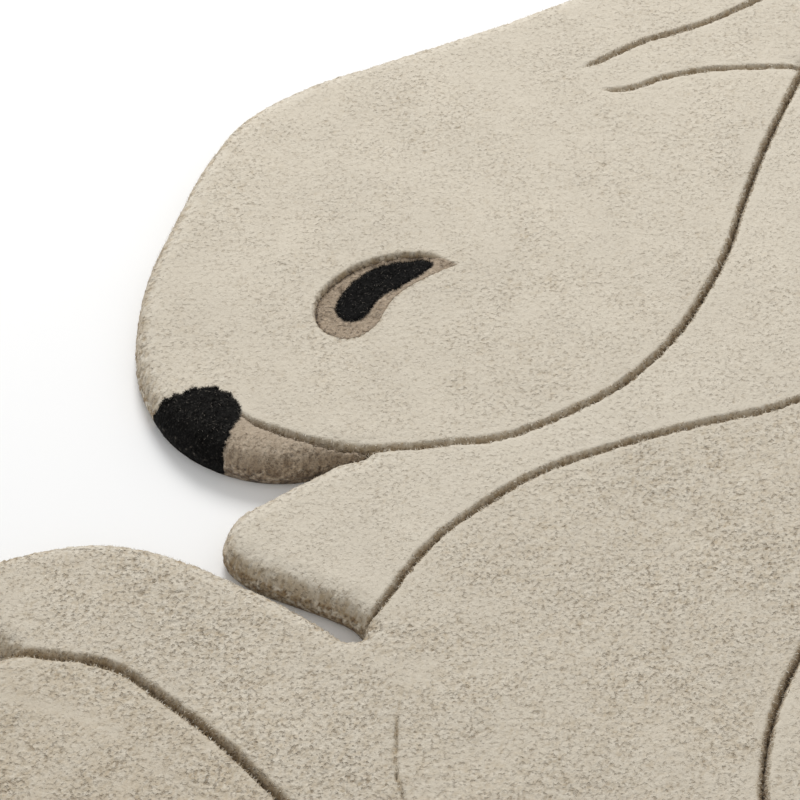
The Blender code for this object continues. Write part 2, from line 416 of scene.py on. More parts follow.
def tufts(points, pitch, salt):
    """The two least distances to scattered tufts' middles, and the nearest tuft's two random numbers."""
    cell = np.floor(points / pitch).astype(np.int64)
    first = np.full(len(points), 1e9)
    second = np.full(len(points), 1e9)
    own = np.zeros_like(cell)
    for dx in (-1, 0, 1):
        for dy in (-1, 0, 1):
            ix = cell[:, 0] + dx
            iy = cell[:, 1] + dy
            spot = np.stack([
                (ix + 0.1 + 0.8 * hashed(ix, iy, salt)) * pitch,
                (iy + 0.1 + 0.8 * hashed(ix, iy, salt + 1)) * pitch,
            ], axis=1)
            gap = np.hypot(*(points - spot).T)
            closer = gap < first
            second = np.where(closer, first, np.minimum(second, gap))
            first = np.where(closer, gap, first)
            own[closer, 0] = ix[closer]
            own[closer, 1] = iy[closer]
    tone = hashed(own[:, 0], own[:, 1], salt + 2)
    height = hashed(own[:, 0], own[:, 1], salt + 3)
    return first, second, tone, height


def waves(points, size, salt):
    """Smooth noise from -1 to 1 with bumps of about a size."""
    place = points / size
    cell = np.floor(place).astype(np.int64)
    part = place - cell
    part = part * part * (3 - 2 * part)
    corner = [
        hashed(cell[:, 0] + dx, cell[:, 1] + dy, salt) for dx, dy in ((0, 0), (1, 0), (0, 1), (1, 1))
    ]
    low = corner[0] + (corner[1] - corner[0]) * part[:, 0]
    high = corner[2] + (corner[3] - corner[2]) * part[:, 0]
    return 2 * (low + (high - low) * part[:, 1]) - 1


def falling(t):
    """1 at 0, falling smoothly to 0 at 1 and staying there."""
    t = np.clip(t, 0, 1)
    return 1 - t * t * (3 - 2 * t)


def on_rug(points):
    """The drawing's points in the rug's frame."""
    return np.array(points, float) + DRAWING_AT


def ragged(loop, size, salt):
    """The loop with its points moved a little, as cut yarn ends do where two colours meet."""
    moved = loop + size * np.stack([waves(loop, 2.6, salt), waves(loop, 2.6, salt + 7)], axis=1)
    moved[-1] = moved[0]
    return moved


OUTLINE = frame_outline()
RING = np.vstack([OUTLINE, OUTLINE[:1]])
CARVED = {name: on_rug(smooth_run(points)) for name, (_, _, _, points) in GROOVES.items()}
EYE_LOOP = on_rug(smooth_run(EYE_SURROUND))
PUPIL_LOOP = ragged(on_rug(smooth_run(PUPIL)), PUPIL_RAGGED, SEED + 40)
NOSE_LOOP = ragged(on_rug(smooth_run(NOSE)), NOSE_RAGGED, SEED + 41)


def section_loops():
    """Each section of the pile with a closed line round it; a cell takes the first that holds it."""
    jaw = CARVED["jaw"]
    body = CARVED["body"]
    haunch = CARVED["haunch"]
    slit = on_rug(SLIT)
    chin = jaw[jaw[:, 0] < on_rug(((-16, 0),))[0, 0]]
    shoulder = body[:nearest_point(body, on_rug(SADDLE)[0])]
    stifle = haunch[:nearest_point(haunch, on_rug(((192, -348),))[0])]
    borders = {
        "nose": [NOSE_LOOP],
        "tail": [CARVED["tail"], on_rug(((619, -500), (900, -500), (900, -150)))],
        "foot": [CARVED["foot"], stifle[::-1], on_rug(((266, -600), (-600, -600), (-600, -172)))],
        "haunch": [haunch, on_rug(((900, -140), (900, -600), (266, -600)))],
        "jaw": [chin, on_rug(UNDER_JAW), on_rug(((-140, -6),))],
        "head": [jaw, on_rug(BESIDE_EARS), on_rug(((900, 700), (-600, 700), (-600, -58), (-110, -58)))],
        "neck": [jaw, body[::-1], slit, on_rug(((-600, -58),))],
        "flank": [slit[::-1], shoulder, on_rug(SADDLE), on_rug(((262, -600), (-600, -600)))],
    }
    return {name: np.vstack(runs) for name, runs in borders.items()}


def nearest_point(line, spot):
    """The number of the line's point that is nearest to a spot."""
    return int(np.hypot(*(line - spot).T).argmin())


def sections(points):
    """The number of the section that each point is in: 0 is off the rug, and 1 is the back."""
    label = inside(points, OUTLINE).astype(int)
    for name, loop in section_loops().items():
        free = np.flatnonzero(label == 1)
        held = inside(points[free], loop)
        label[free[held]] = NAMES.index(name) + 1
    return label


def dyed(tone, yarn):
    """The yarn's linear colour at each tone."""
    table = np.array(YARNS[yarn])
    shade = np.stack([np.interp(tone, table[:, 0], table[:, i]) for i in (1, 2, 3)], axis=1) / 255
    return np.where(shade < 0.04045, shade / 12.92, ((shade + 0.055) / 1.055) ** 2.4)


def rim_drop(off):
    """How far the rounded rim lowers the pile, by the distance from the outline."""
    across = np.clip(1 - off / RIM_REACH, 0, 1)
    return RIM_FALL * (1 - np.sqrt(1 - across**2))


def groove_cuts(points):
    """How deep each point is in the grooves, and in the painted shade along them."""
    deep = np.zeros(len(points))
    cut = np.zeros(len(points))
    for name, line in CARVED.items():
        full, fade_in, fade_out, _ = GROOVES[name]
        off, along, side, _ = nearest(points, line, GROOVE_REACH)
        total = lengths(line)[-1]
        size = np.ones(len(points))
        if fade_in:
            size = np.minimum(size, along / fade_in)
        if fade_out:
            size = np.minimum(size, (total - along) / fade_out)
        size = full * np.sin(np.clip(size, FADED, 1) * math.pi / 2)
        close = off < GROOVE_REACH
        here = points[close]
        uneven = np.ones(len(points))
        uneven[close] = 1 + 0.22 * waves(here, 3.1, SEED + 50) + 0.1 * waves(here, 14, SEED + 51)
        reach = np.where(side > 0, SOFT_SIDE, CRISP_SIDE) * size * uneven
        deep = np.maximum(deep, falling(off / reach) * size * close)
        cut = np.maximum(cut, falling(off / (SHADE_REACH * reach)) * size * close)
    return deep, cut


def carving(points):
    """How far the pile is lowered, how deep in a cut each point is, and what is in the eye and pupil."""
    drop = rim_drop(nearest(points, RING, RIM_REACH)[0])
    deep, cut = groove_cuts(points)
    eye_off = nearest(points, EYE_LOOP, EYE_REACH)[0]
    in_eye = inside(points, EYE_LOOP)
    across = (points - DRAWING_AT) @ RECESS_ACROSS
    share = np.clip((across - RECESS_FROM) / (RECESS_TO - RECESS_FROM), RECESS_LEAST, 1)
    sunk = np.where(in_eye, 1 - falling(eye_off / RECESS_WALL), 0) * share
    pupil_off = nearest(points, PUPIL_LOOP, EYE_REACH)[0]
    in_pupil = inside(points, PUPIL_LOOP)
    proud = np.where(in_pupil, 1 - falling(pupil_off / RECESS_WALL), 0)
    upper = (share - RECESS_LEAST) / (1 - RECESS_LEAST)
    brow = falling(eye_off / BROW_SIDE) * upper
    drop = np.maximum(np.maximum(drop, deep * GROOVE_DEPTH), BROW_SHARE * brow * GROOVE_DEPTH)
    drop = np.maximum(drop, sunk * RECESS_DEPTH) - proud * PUPIL_PROUD
    # Painted shade along the eye recess's upper edge, the brow
    cut = np.maximum(cut, falling(eye_off / (SHADE_REACH * BROW_SIDE)) * upper)
    return drop, cut, in_eye, in_pupil


def shearing(points):
    """How much relief the tufts have: less in the shorn margins, more where the pile is coarse."""
    margin = nearest(points, RING, SHORN_REACH)[0]
    for name, line in CARVED.items():
        if name != "belly":
            margin = np.minimum(margin, nearest(points, line, SHORN_REACH)[0])
    strip = nearest(points, on_rug(smooth_run(SHORN_STRIP)), SHORN_HALF)[0] / SHORN_HALF
    near = falling(margin / SHORN_REACH + 0.25 * waves(points, 9, SEED + 60))
    keep = 1 - 0.5 * near - 0.55 * falling(strip)
    keep = keep + 0.30 * waves(points, 19, SEED + 61) + 0.25 * waves(points, 7, SEED + 62)
    for middle, reach, more in COARSE:
        keep = keep + more * falling(np.hypot(*(points - on_rug(middle)).T) / reach) * (1 - near)
    return np.clip(keep, *KEEP_RANGE)


def pile_grid():
    """The plan of the rug as a square grid: its points, and the section of each cell."""
    low = OUTLINE.min(axis=0) - 2 * GRID
    count = np.ceil((OUTLINE.max(axis=0) + 2 * GRID - low) / GRID).astype(int)
    x, y = [low[i] + GRID * np.arange(count[i] + 1) for i in (0, 1)]
    points = np.stack(np.meshgrid(x, y, indexing="ij"), axis=-1)
    middles = (points[:-1, :-1] + points[1:, 1:]).reshape(-1, 2) / 2
    label = sections(middles)
    colour_eye(label, middles)
    return points, label.reshape(count[0], count[1])


def colour_eye(label, middles):
    """The eye surround and its pupil lie within the head."""
    spots = np.flatnonzero((np.abs(middles - EYE_LOOP.mean(axis=0)) < EYE_WITHIN).all(axis=1))
    for name, loop in (("eye", EYE_LOOP), ("pupil", PUPIL_LOOP)):
        label[spots[inside(middles[spots], loop)]] = NAMES.index(name) + 1


def snap_borders(points, label):
    """Moves the grid's border points onto the outline, the grooves and the colours' borders."""
    padded = np.pad(label, 1)
    around = np.stack([padded[:-1, :-1], padded[1:, :-1], padded[:-1, 1:], padded[1:, 1:]])
    inner = (around.min(axis=0) > 0) & (around.min(axis=0) != around.max(axis=0))
    flat = points.reshape(-1, 2)
    rim = np.flatnonzero((around.min(axis=0) == 0) & (around.max(axis=0) > 0))
    flat[rim] = nearest(flat[rim], RING, RIM_SEEK)[3]
    seam = np.flatnonzero(inner)
    best = np.full(len(seam), SNAP_REACH)
    spot = flat[seam].copy()
    for line in [EYE_LOOP, PUPIL_LOOP, NOSE_LOOP, on_rug(smooth_run(SADDLE)), *CARVED.values()]:
        off, _, _, foot = nearest(flat[seam], line, SEAM_SEEK)
        closer = off < best
        best[closer] = off[closer]
        spot[closer] = foot[closer]
    flat[seam] = spot


def relief(points, scale):
    """Tufts on the pile: their height above it in millimetres, and their change of tone: random, with painted
    shade in the gaps and clefts between tufts, and a little lighter where the pile rises in broad waves.
    """
    first, second, tone, height = tufts(points, TUFT, SEED)
    dome = 0.45 - (first / (0.62 * TUFT)) ** 2
    gap = falling((second - first) / 0.7)
    ix, iy = np.round(points.T * 7).astype(np.int64)
    grain = hashed(ix, iy, SEED + 9)
    cleft = np.clip(waves(points, 5.2, SEED + 14) * 1.6 - 0.35, 0, 1) * gap
    lean = 0.6 * waves(points, 46, SEED + 11) + 0.4 * waves(points, 17, SEED + 12)
    lift = scale * (0.25 * dome + 0.26 * (height - 0.5) + 0.25 * (grain - 0.5) - 0.5 * cleft) + 0.25 * lean
    # Painted shade in the gaps and clefts between tufts, with random tone
    shade = scale * (0.06 * (tone - 0.5) - 0.02 * gap - 0.06 * cleft + 0.05 * (grain - 0.5)) + 0.010 * lean
    return lift, shade


def border_edges(held, label):
    """The edges round a section's cells, anticlockwise, and whether each is on the rug's edge."""
    wide = held.shape[1] + 1
    padded = np.pad(held, 1)
    other = np.pad(label, 1)
    edges = []
    outer = []
    for (di, dj), (si, sj), (ei, ej) in CELL_SIDES:
        beyond = padded[1 + di:padded.shape[0] - 1 + di, 1 + dj:padded.shape[1] - 1 + dj]
        i, j = np.nonzero(held & ~beyond)
        edges.append(np.stack([(i + si) * wide + j + sj, (i + ei) * wide + j + ej], axis=1))
        outer.append(other[i + 1 + di, j + 1 + dj] == 0)
    return np.concatenate(edges), np.concatenate(outer)


def underside(spots, rim):
    """Points and triangles that close a section's border on the floor."""
    spots, place = np.unique(np.round(spots, 2), axis=0, return_inverse=True)
    rim = place.reshape(-1)[rim]
    rim = rim[rim[:, 0] != rim[:, 1]]
    found = delaunay_2d_cdt([Vector(p) for p in spots], rim.tolist(), [], 0, 0.005)
    corners = np.array([tuple(p) for p in found[0]])
    triangles = np.array(found[2])
    middles = corners[triangles].mean(axis=1)
    held = np.zeros(len(middles), bool)
    x, y = middles.T
    for (ax, ay), (bx, by) in zip(spots[rim[:, 0]], spots[rim[:, 1]]):
        if ay != by:
            held ^= ((ay > y) != (by > y)) & (x < (bx - ax) * (y - ay) / (by - ay) + ax)
    triangles = triangles[held]
    a, b, c = corners[triangles].transpose(1, 0, 2)
    turn = (b - a)[:, 0] * (c - a)[:, 1] - (b - a)[:, 1] * (c - a)[:, 0]
    triangles[turn > 0] = triangles[turn > 0][:, ::-1]
    return corners, triangles


def wall_rows(spots, tops, outward, along, tones):
    """Points down the rug's side under each edge point, bowed and ridged like yarn seen from the side, and
    their tone: painted shade, darker down the side and in the gaps between tufts.
    """
    for row in range(1, WALL_ROWS + 1):
        part = row / WALL_ROWS
        high = tops * (1 - part)
        yarn = np.stack([along, high * 0.8], axis=1)
        first, second, tone, height = tufts(yarn, WALL_YARN, SEED + 31)
        ridge = 0.8 * (0.4 - (first / WALL_YARN) ** 2) + 0.7 * (height - 0.5)
        ridge = ridge + 0.3 * waves(yarn, 9, SEED + 35)
        bow = WALL_BOW * math.sin(math.pi * min(part * 1.1, 1))
        out = (bow + ridge) * (row < WALL_ROWS)
        lit = np.interp(part, *zip(*WALL_TONES))
        lit = lit + (tones - lit) * falling(part / 0.25)
        gap = falling((second - first) / 0.8)
        grit = hashed(np.round(along * 3).astype(np.int64), np.full(len(along), row), SEED + 33) - 0.5
        # Painted shade down the side and in the gaps between tufts; the tufts' random tone stands partly for
        # lit yarn ends
        shade = lit + WALL_DYE_AND_LIGHT * (tone - 0.5) - WALL_GAP * gap + WALL_GRIT * grit
        yield np.column_stack([spots + outward * out[:, None], high]), shade


def rim_frame(spots):
    """For points on the rug's edge: the way out of the rug, and the length round it."""
    _, along, _, _ = nearest(spots, RING)
    run = np.diff(RING, axis=0)
    long = np.linalg.norm(run, axis=1)
    middles = np.cumsum(long) - long / 2
    out = np.stack([run[:, 1], -run[:, 0]], axis=1) / long[:, None]
    total = long.sum()
    middles = np.concatenate([[middles[-1] - total], middles, [middles[0] + total]])
    out = np.vstack([out[-1:], out, out[:1]])
    return unit(along_line(out, middles, along)), along


def build_section(name, number, points, label, height, tone, rough):
    """One section of the pile as a closed piece: its top, its sides and its underside."""
    held = label == number
    wide = label.shape[1] + 1
    i, j = np.nonzero(held)
    first = i * wide + j
    cells = np.stack([first, first + wide, first + wide + 1, first + 1], axis=1)
    edges, outer = border_edges(held, label)
    used = np.unique(cells)
    place = np.full(len(points), -1)
    place[used] = np.arange(len(used))
    parts = [(np.column_stack([points[used], height[used]]), tone[used], rough[used])]
    count = len(used)
    rim = np.unique(edges[outer])
    levels = {int(p): [int(place[p])] for p in np.unique(edges)}
    if len(rim):
        outward, along = rim_frame(points[rim])
        for row, shade in wall_rows(points[rim], height[rim], outward, along, tone[rim]):
            for n, p in enumerate(rim.tolist()):
                levels[p].append(count + n)
            parts.append((row, shade, np.full(len(rim), WALL_ROUGH)))
            count += len(rim)
    inland = np.setdiff1d(np.unique(edges), rim)
    uncarved = inland[on_saddle(points[inland])]
    tucked = {int(p): count + n for n, p in enumerate(uncarved)}
    below = np.column_stack([points[uncarved], height[uncarved] - SEAM_TUCK])
    parts.append((below, np.full(len(uncarved), PLAIN_TONE), rough[uncarved]))
    count += len(uncarved)
    parts.append(on_floor(points[inland]))
    for n, p in enumerate(inland.tolist()):
        levels[p].append(count + n)
    count += len(inland)
    faces = Faces()
    faces.add(place[cells].tolist(), smooth=True, canvas=False)
    add_sides(faces, edges, outer, levels, tucked)
    marks, rim_edges = np.unique(edges, return_inverse=True)
    low, under = underside(points[marks], rim_edges.reshape(-1, 2))
    parts.append(on_floor(low))
    faces.add((under + count).tolist(), smooth=False, canvas=True)
    vertices, tones, depths = [np.concatenate(part) for part in zip(*parts)]
    piece = make_piece("pile_" + name, vertices, faces, tones, PILE[name][0], depths)
    weld(piece)
    return piece


def add_sides(faces, edges, outer, levels, tucked):
    """The faces down a section's sides: rows at the rug's edge, and one face at each inner edge."""
    for (a, b), out in zip(edges.tolist(), outer.tolist()):
        if out:
            faces.add([
                (levels[a][k + 1], levels[b][k + 1], levels[b][k], levels[a][k]) for k in range(WALL_ROWS)
            ], smooth=True, canvas=False)
        else:
            down_a = [tucked.get(a, levels[a][0])] + levels[a][1:]
            down_b = [tucked.get(b, levels[b][0])] + levels[b][1:]
            faces.add([down_b[::-1] + down_a], smooth=False, canvas=False)


def on_floor(spots):
    """The points on the floor, with their tone and roughness."""
    level = np.zeros(len(spots))
    return np.column_stack([spots, level]), np.full(len(spots), WALL_TONE), level


def on_saddle(points):
    """Whether each point is on the one border that no groove follows."""
    return nearest(points, on_rug(smooth_run(SADDLE)), RIM_SEEK)[0] < GRID


def weld(piece):
    """Joins the points that lie in one place, as at the foot of the side."""
    shape = bmesh.new()
    shape.from_mesh(piece.data)
    bmesh.ops.remove_doubles(shape, verts=shape.verts, dist=MERGE_M)
    shape.to_mesh(piece.data)
    shape.free()


class Faces:
    """Faces of any number of corners, with their shading and material."""

    def __init__(self):
        self.corners = []
        self.smooth = []
        self.canvas = []

    def add(self, faces, smooth, canvas):
        """Adds faces that share their shading and material."""
        self.corners += faces
        self.smooth += [smooth] * len(faces)
        self.canvas += [int(canvas)] * len(faces)


def make_piece(name, vertices, faces, tone, yarn, depth):
    """A mesh that stands for the rug, with its colour and the depth of its clefts at each point."""
    mesh = bpy.data.meshes.new(name)
    mesh.from_pydata((vertices / 1000).tolist(), [], faces.corners)
    mesh.polygons.foreach_set("use_smooth", faces.smooth)
    mesh.materials.append(MATERIALS[yarn])
    mesh.materials.append(MATERIALS["backing_canvas"])
    mesh.polygons.foreach_set("material_index", faces.canvas)
    colour = np.column_stack([dyed(np.clip(tone, 0, 1), yarn), np.ones(len(tone))])
    mesh.attributes.new("yarn", "FLOAT_COLOR", "POINT").data.foreach_set("color", colour.ravel())
    mesh.attributes.new("depth", "FLOAT", "POINT").data.foreach_set("value", depth)
    mesh.update()
    piece = bpy.data.objects.new(name, mesh)
    bpy.context.scene.collection.objects.link(piece)
    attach(piece, "root")
    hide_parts("rug")
    return piece


def pile_surface(points, around):
    """Height, tone and depth of the clefts at each grid point, by the section round it."""
    live = np.flatnonzero(around > 0)
    here = points[live]
    drop, cut, in_eye, _ = carving(here)
    base = np.array([PILE[name][1] for name in NAMES])
    scale = np.array([PILE[name][2] for name in NAMES])
    which = around[live] - 1
    keep = shearing(here)
    lift, shade = relief(here, scale[which] * keep)
    rounding = np.clip(drop / 4, 0, 1) * (cut < 0.05) * ~in_eye
    fine = 1 + CUT_RELIEF * np.clip(cut, 0, 1) + RIM_RELIEF * rounding
    grit_share = np.clip(1.5 * cut + 0.7 * rounding, 0, 1)
    _, _, dye, rise = tufts(here, GRIT, SEED + 72)
    height = np.full(len(points), THICKNESS)
    height[live] = THICKNESS - drop + lift * fine + GRIT_MM * (rise - 0.5) * grit_share
    fallen = drop * (1 + 0.6 * waves(here, 3.0, SEED + 71)) * (cut < 0.05) * ~in_eye
    edge_light = np.interp(fallen, *zip(*RIM_TONES))
    patchy = 1 + 0.35 * waves(here, 2.4, SEED + 70)
    tone = np.full(len(points), PLAIN_TONE)
    # Each section's tone, the tufts' tone and painted shade (stronger on the rounded rim), and the rim's
    # painted light and shade
    tone[live] = base[which] + shade * (1 + 1.5 * rounding) + edge_light
    # Painted shade in and beside the grooves and along the brow, in patches
    tone[live] -= CUT_SHADE * np.clip(cut, 0, 1.2) ** 0.8 * patchy
    # Painted light on the higher tufts' tips, with some random tone, where the grooves and the rounded rim
    # are
    tone[live] += GRIT_LIGHT_AND_TONE * (0.6 * rise + 0.4 * dye - 0.5) * grit_share
    tone[live] += 0.02 * (1 - np.clip(keep, 0, 1))
    rough = np.zeros(len(points))
    rough[live] = scale[which] * keep + CUT_CLEFTS * cut + RIM_CLEFTS * rounding
    return height, tone, rough


def build_pile():
    """All sections; returns them by name with the flat area of each in square metres."""
    grid, label = pile_grid()
    snap_borders(grid, label)
    points = grid.reshape(-1, 2)
    padded = np.pad(label, 1)
    around = np.maximum.reduce([padded[:-1, :-1], padded[1:, :-1], padded[:-1, 1:], padded[1:, 1:]])
    height, tone, rough = pile_surface(points, around.reshape(-1))
    made = {}
    for number, name in enumerate(NAMES, 1):
        piece = build_section(name, number, points, label, height, tone, rough)
        made[name] = (piece, (label == number).sum() * GRID**2 / 1e6)
    return made


def spikes(roots, tips, thick, tone, yarns, name):
    """Fine fibres as closed three-sided spikes."""
    along = unit(tips - roots)
    side = unit(np.cross(along, np.where(np.abs(along[:, 2:]) < 0.9, [[0.0, 0.0, 1.0]], [[1.0, 0.0, 0.0]])))
    other = np.cross(along, side)
    count = len(roots)
    turns = (0, 2 * math.pi / 3, 4 * math.pi / 3)
    ring = [roots + thick * (math.cos(a) * side + math.sin(a) * other) for a in turns]
    vertices = np.vstack(ring + [tips])
    n = np.arange(count)
    a, b, c, d = n, n + count, n + 2 * count, n + 3 * count
    corners = np.concatenate([
        np.stack([a, b, d], axis=1), np.stack([b, c, d], axis=1), np.stack([c, a, d], axis=1),
        np.stack([c, b, a], axis=1),
    ])
    faces = Faces()
    faces.add(corners.tolist(), smooth=False, canvas=False)
    make_piece(name, vertices, faces, np.tile(tone, 4), yarns, np.zeros(len(vertices)))


def rim_fibres():
    """Loose wool at the rug's rounded rim, by the yarn it grows from."""
    rng = np.random.default_rng(SEED)
    long = lengths(RING)
    count = int(long[-1] * RIM_FIBRES_PER_MM)
    at = rng.uniform(0, long[-1], count)
    spots = along_line(RING, long, at)
    outward, _ = rim_frame(spots)
    up = rng.beta(2.2, 1.1, count)
    inward = np.clip((up - 0.8) * 18, -0.4, 4)
    high = np.where(up > 0.8, THICKNESS - rim_drop(np.maximum(inward, 0)), up * 15)
    roots = np.column_stack([spots - outward * inward[:, None], high - 0.4])
    rise = np.clip(up * 1.3 - 0.3, 0.05, 1)
    way = np.column_stack([outward, rise * 1.3]) + rng.normal(0, 0.45, (count, 3))
    way[:, 2] = np.where(high < 5, np.abs(way[:, 2]), way[:, 2])
    tips = roots + unit(way) * rng.uniform(*RIM_FIBRE_LONG, count)[:, None]
    tips[:, 2] = np.maximum(tips[:, 2], 0.3)
    # Painted shade: fibres lower on the side are darker
    tone = np.interp(high, *zip(*RIM_FIBRE_TONES)) + rng.normal(0, 0.05, count)
    label = sections(spots - outward * 3)
    split_by_yarn("rim_fibres", roots, tips, RIM_FIBRE_MM, tone, label)


def pile_fibres():
    """A few loose fibre ends that stand out of the pile."""
    rng = np.random.default_rng(SEED + 1)
    low = OUTLINE.min(axis=0)
    high = OUTLINE.max(axis=0)
    spots = rng.uniform(low, high, (PILE_FIBRES, 2))
    label = sections(spots)
    spots = spots[label > 0]
    label = label[label > 0]
    drop, cut, in_eye, in_pupil = carving(spots)
    rise = THICKNESS - drop
    count = len(spots)
    roots = np.column_stack([spots, rise - 0.5])
    way = rng.normal(0, 0.8, (count, 3))
    way[:, 2] = rng.uniform(0.35, 1.0, count)
    tips = roots + unit(way) * rng.uniform(*PILE_FIBRE_LONG, count)[:, None]
    label[in_eye] = NAMES.index("eye") + 1
    label[in_pupil] = NAMES.index("pupil") + 1
    # Painted shade: fibres in the grooves are darker
    tone = 0.86 - 0.35 * cut + rng.normal(0, 0.06, count)
    split_by_yarn("pile_fibres", roots, tips, PILE_FIBRE_MM, tone, label)


def groove_fibres():
    """Yarn ends that lean over the carved grooves from both sides."""
    rng = np.random.default_rng(SEED + 2)
    spots = []
    ways = []
    for name, line in CARVED.items():
        long = lengths(line)
        count = int(long[-1] * GROOVE_FIBRES_PER_MM * GROOVES[name][0])
        at = rng.uniform(0, long[-1], count)
        spot = along_line(line, long, at)
        run = unit(along_line(line, long, at + 1) - along_line(line, long, at - 1))
        across = np.stack([-run[:, 1], run[:, 0]], axis=1) * rng.choice((-1, 1), count)[:, None]
        spots.append(spot + across * rng.uniform(*GROOVE_FIBRES_OFF, count)[:, None])
        ways.append(-across)
    spots = np.vstack(spots)
    ways = np.vstack(ways)
    label = sections(spots)
    drop, cut, _, _ = carving(spots)
    clear = (label > 0) & (cut > 0.02)
    spots, ways, label, drop, cut = spots[clear], ways[clear], label[clear], drop[clear], cut[clear]
    count = len(spots)
    roots = np.column_stack([spots, THICKNESS - drop])
    way = np.column_stack([ways, rng.uniform(0.2, 1.0, count)]) + rng.normal(0, 0.5, (count, 3))
    tips = roots + unit(way) * rng.uniform(*GROOVE_FIBRE_LONG, count)[:, None]
    # Painted shade: fibres deeper in the grooves are darker, with random tone
    tone = 0.82 - 0.30 * cut + rng.normal(0, 0.17, count)
    split_by_yarn("groove_fibres", roots, tips, GROOVE_FIBRE_MM, tone, label)


def border_fibres():
    """Black yarn ends: some stray over the borders of the pupil and the nose, some lie on them."""
    rng = np.random.default_rng(SEED + 3)
    spots = []
    ways = []
    for loop, loose in ((PUPIL_LOOP, PUPIL_FIBRES), (NOSE_LOOP, NOSE_FIBRES)):
        some = rng.uniform(loop.min(axis=0), loop.max(axis=0), (loose, 2))
        some = some[inside(some, loop)]
        spots.append(some)
        ways.append(rng.normal(0, 1, some.shape))
        long = lengths(loop)
        at = rng.uniform(0, long[-1], int(long[-1] * BORDER_FIBRES_PER_MM))
        edge = along_line(loop, long, at)
        ahead = along_line(loop, long, at + 0.8) - edge
        out = np.stack([ahead[:, 1], -ahead[:, 0]], axis=1)
        out /= np.linalg.norm(out, axis=1)[:, None] + 1e-9
        out *= np.where(inside(edge + 0.5 * out, loop), -1, 1)[:, None]
        spots.append(edge - 0.4 * out)
        ways.append(out + rng.normal(0, 0.5, out.shape))
    spots = np.vstack(spots)
    ways = np.vstack(ways)
    clear = inside(spots, OUTLINE) & (nearest(spots, RING)[0] > EDGE_CLEAR)
    spots, ways = spots[clear], ways[clear]
    drop = carving(spots)[0]
    count = len(spots)
    roots = np.column_stack([spots, THICKNESS - drop - 0.1])
    way = np.column_stack([ways, rng.uniform(0.1, 0.6, count)])
    tips = roots + unit(way) * rng.uniform(*BORDER_FIBRE_LONG, count)[:, None]
    tone = rng.choice(BORDER_FIBRE_TONES, count, p=BORDER_TONE_SHARES)
    spikes(roots, tips, BORDER_FIBRE_MM, tone, "black_pile", "border_fibres")


def split_by_yarn(name, roots, tips, thick, tone, label):
    """The fibres as one piece for each yarn that their sections have."""
    yarn = np.array([PILE[n][0] for n in NAMES])[label - 1]
    for slot in YARNS:
        some = (yarn == slot) & (label > 0)
        if some.any():
            spikes(roots[some], tips[some], thick, tone[some], slot, name + "_" + slot.split("_")[0])


class Graph:
    """A material's nodes, added and joined by short calls."""

    def __init__(self, name):
        self.material = bpy.data.materials.new(name)
        self.material.use_nodes = True
        self.nodes = self.material.node_tree.nodes
        self.links = self.material.node_tree.links
        self.shader = self.nodes["Principled BSDF"]

    def add(self, kind, inputs=(), **settings):
        """A new node, with what goes into its sockets."""
        node = self.nodes.new(kind)
        for key, value in settings.items():
            setattr(node, key, value)
        for socket, value in dict(inputs).items():
            self.put(value, node.inputs[socket])
        return node

    def maths(self, operation, *values):
        """The result of one operation on numbers."""
        node = self.add("ShaderNodeMath", enumerate(values), operation=operation)
        return node.outputs["Value"]

    def noise(self, place, scale, detail, roughness):
        """Smooth noise from 0 to 1."""
        node = self.add("ShaderNodeTexNoise", {
            "Vector": place, "Scale": scale, "Detail": detail, "Roughness": roughness,
        })
        return node.outputs["Fac"]

    def vector(self, operation, first, second):
        """The result of one operation on two colours, or a colour and a number."""
        node = self.add("ShaderNodeVectorMath", {0: first}, operation=operation)
        self.put(second, node.inputs["Scale" if operation == "SCALE" else 1])
        return node.outputs["Vector"]

    def spread(self, value, low, high, first, last):
        """The value carried from one range to another, and kept in it."""
        node = self.add("ShaderNodeMapRange", {
            "Value": value, "From Min": low, "From Max": high, "To Min": first, "To Max": last,
        })
        return node.outputs["Result"]

    def put(self, value, socket):
        """Joins a node's output to a socket, or sets a constant there."""
        if isinstance(value, bpy.types.NodeSocket):
            self.links.new(value, socket)
        else:
            socket.default_value = value


